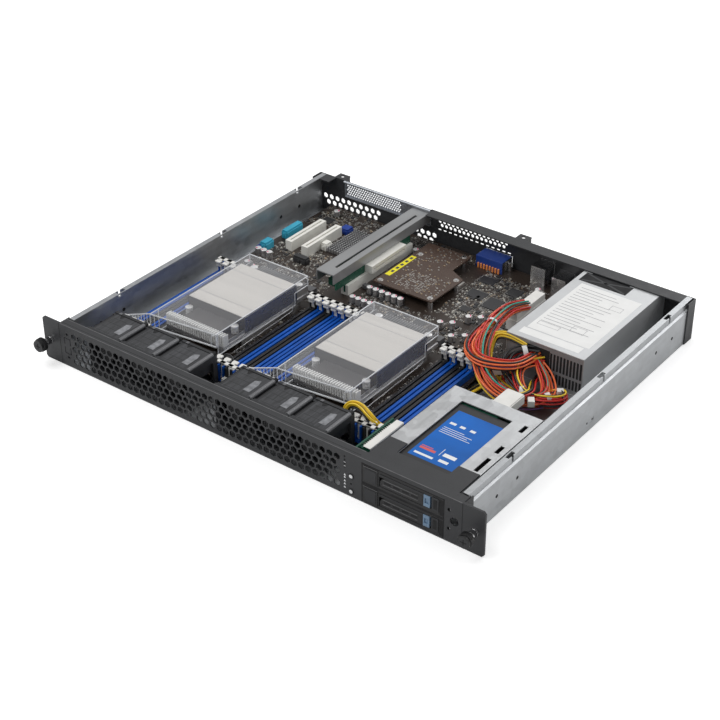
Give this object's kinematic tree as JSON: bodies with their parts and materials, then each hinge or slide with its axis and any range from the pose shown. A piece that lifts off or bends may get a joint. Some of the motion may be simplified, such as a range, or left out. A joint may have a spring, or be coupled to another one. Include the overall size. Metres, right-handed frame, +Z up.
{
  "type": "one-unit rack server",
  "caption": "Open one-unit rack server: front vent and fans, two cooled processors under clear ducts, memory slots, riser, power supply and hot-swap drive trays.",
  "frame": {"origin": "underside, midway between the side walls, in the plane of the bezel's front face", "axes": "+X to the right seen from the front, +Y into the rack, +Z up"},
  "size_m": [0.4826, 0.4121, 0.0437],
  "materials": {
    "galvanised": "zinc coated sheet",
    "black_steel": "fine textured powder coat",
    "black_plastic": "moulded, matt",
    "fan_plastic": "moulded, matt",
    "board": "solder resist",
    "card_green": "solder resist",
    "card_brown": "solder resist",
    "aluminium": "bare",
    "steel": "bright",
    "clear": "clear polycarbonate",
    "blue_plastic": "moulded",
    "white_plastic": "moulded",
    "connector_blue": "moulded",
    "choke": "ferrite",
    "drive_label": "printed label",
    "wire": "insulated wire",
    "grey_blue": "moulded"
  },
  "bodies": {
    "chassis": {"air_duct_left": "clear", "air_duct_right": "clear", "chassis_tray": "galvanised", "chipset_heatsink": "aluminium", "control_board": "card_green", "cpu_sockets": "steel", "drive_backplane": "card_green", "drive_cage": "galvanised", "drive_loom": "wire", "ear_left": "black_steel", "ear_right": "black_steel", "expansion_slots": "white_plastic", "fan_frame_left_1": "fan_plastic", "fan_frame_left_2": "fan_plastic", "fan_frame_left_3": "fan_plastic", "fan_frame_right_1": "fan_plastic", "fan_frame_right_2": "fan_plastic", "fan_frame_right_3": "fan_plastic", "front_bezel": "black_steel", "heatsink_left": "aluminium", "heatsink_right": "aluminium", "heatsink_screws": "steel", "main_loom": "wire", "memory_slots_black": "black_plastic", "memory_slots_blue": "blue_plastic", "mezzanine_card": "card_brown", "motherboard": "board", "power_chokes": "choke", "power_connectors": "white_plastic", "psu_case": "galvanised", "psu_fan_frame": "fan_plastic", "rear_panel": "black_steel", "rear_ports": "steel", "riser_bracket": "galvanised", "riser_card": "card_green", "slot_cover": "steel", "storage_connectors": "connector_blue"},
    "rotor_left_1": {"fan_rotor_left_1": "fan_plastic"},
    "rotor_left_2": {"fan_rotor_left_2": "fan_plastic"},
    "rotor_left_3": {"fan_rotor_left_3": "fan_plastic"},
    "rotor_right_1": {"fan_rotor_right_1": "fan_plastic"},
    "rotor_right_2": {"fan_rotor_right_2": "fan_plastic"},
    "rotor_right_3": {"fan_rotor_right_3": "fan_plastic"},
    "psu_rotor": {"psu_fan_rotor": "fan_plastic"},
    "captive_screw_left": {"thumbscrew_left": "black_plastic"},
    "captive_screw_right": {"thumbscrew_right": "black_plastic"},
    "latches_left_front": {"memory_latches_left_front": "white_plastic"},
    "latches_left_rear": {"memory_latches_left_rear": "white_plastic"},
    "latches_right_front": {"memory_latches_right_front": "white_plastic"},
    "latches_right_rear": {"memory_latches_right_rear": "white_plastic"},
    "tray_upper": {"drive_tray_upper": "black_plastic", "drive_upper": "drive_label"},
    "lever_upper": {"tray_lever_upper": "black_plastic"},
    "catch_upper": {"tray_latch_upper": "grey_blue"},
    "tray_lower": {"drive_tray_lower": "black_plastic", "drive_lower": "drive_label"},
    "lever_lower": {"tray_lever_lower": "black_plastic"},
    "catch_lower": {"tray_latch_lower": "grey_blue"},
    "power_key": {"power_button": "black_plastic"},
    "locate_key": {"locate_button": "black_plastic"}
  },
  "joints": [
    {"name": "fan_left_1_spin", "type": "hinge", "parent": "chassis", "child": "rotor_left_1", "pos_m": [-0.175, 0.03, 0.0212], "axis": [0, 1, 0], "continuous": true},
    {"name": "fan_left_2_spin", "type": "hinge", "parent": "chassis", "child": "rotor_left_2", "pos_m": [-0.134, 0.03, 0.0212], "axis": [0, 1, 0], "continuous": true},
    {"name": "fan_left_3_spin", "type": "hinge", "parent": "chassis", "child": "rotor_left_3", "pos_m": [-0.093, 0.03, 0.0212], "axis": [0, 1, 0], "continuous": true},
    {"name": "fan_right_1_spin", "type": "hinge", "parent": "chassis", "child": "rotor_right_1", "pos_m": [-0.023, 0.03, 0.0212], "axis": [0, 1, 0], "continuous": true},
    {"name": "fan_right_2_spin", "type": "hinge", "parent": "chassis", "child": "rotor_right_2", "pos_m": [0.018, 0.03, 0.0212], "axis": [0, 1, 0], "continuous": true},
    {"name": "fan_right_3_spin", "type": "hinge", "parent": "chassis", "child": "rotor_right_3", "pos_m": [0.059, 0.03, 0.0212], "axis": [0, 1, 0], "continuous": true},
    {"name": "psu_fan_spin", "type": "hinge", "parent": "chassis", "child": "psu_rotor", "pos_m": [0.1395, 0.376, 0.0212], "axis": [0, 1, 0], "continuous": true},
    {"name": "thumbscrew_left_turn", "type": "hinge", "parent": "chassis", "child": "captive_screw_left", "pos_m": [-0.23255, 0, 0.0218], "axis": [0, 1, 0], "continuous": true},
    {"name": "thumbscrew_right_turn", "type": "hinge", "parent": "chassis", "child": "captive_screw_right", "pos_m": [0.23255, 0, 0.0218], "axis": [0, 1, 0], "continuous": true},
    {"name": "latches_left_front_open", "type": "hinge", "parent": "chassis", "child": "latches_left_front", "pos_m": [0, 0.0576, 0.0145], "axis": [1, 0, 0], "range_deg": [0, 22]},
    {"name": "latches_left_rear_open", "type": "hinge", "parent": "chassis", "child": "latches_left_rear", "pos_m": [0, 0.1984, 0.0145], "axis": [-1, 0, 0], "range_deg": [0, 22]},
    {"name": "latches_right_front_open", "type": "hinge", "parent": "chassis", "child": "latches_right_front", "pos_m": [0, 0.0576, 0.0145], "axis": [1, 0, 0], "range_deg": [0, 22]},
    {"name": "latches_right_rear_open", "type": "hinge", "parent": "chassis", "child": "latches_right_rear", "pos_m": [0, 0.1984, 0.0145], "axis": [-1, 0, 0], "range_deg": [0, 22]},
    {"name": "tray_upper_slide", "type": "slide", "parent": "chassis", "child": "tray_upper", "axis": [0, -1, 0], "range_m": [0, 0.115]},
    {"name": "lever_upper_open", "type": "hinge", "parent": "tray_upper", "child": "lever_upper", "pos_m": [0.1426, 0.0015, 0.0282], "axis": [0, 0, -1], "range_deg": [0, 75]},
    {"name": "catch_upper_press", "type": "slide", "parent": "tray_upper", "child": "catch_upper", "axis": [1, 0, 0], "range_m": [0, 0.0015], "stiffness_N_per_m": 400},
    {"name": "tray_lower_slide", "type": "slide", "parent": "chassis", "child": "tray_lower", "axis": [0, -1, 0], "range_m": [0, 0.115]},
    {"name": "lever_lower_open", "type": "hinge", "parent": "tray_lower", "child": "lever_lower", "pos_m": [0.1426, 0.0015, 0.0085], "axis": [0, 0, -1], "range_deg": [0, 75]},
    {"name": "catch_lower_press", "type": "slide", "parent": "tray_lower", "child": "catch_lower", "axis": [1, 0, 0], "range_m": [0, 0.0015], "stiffness_N_per_m": 400},
    {"name": "power_press", "type": "slide", "parent": "chassis", "child": "power_key", "axis": [0, 1, 0], "range_m": [0, 0.0008], "stiffness_N_per_m": 600},
    {"name": "locate_press", "type": "slide", "parent": "chassis", "child": "locate_key", "axis": [0, 1, 0], "range_m": [0, 0.0008], "stiffness_N_per_m": 600}
  ]
}
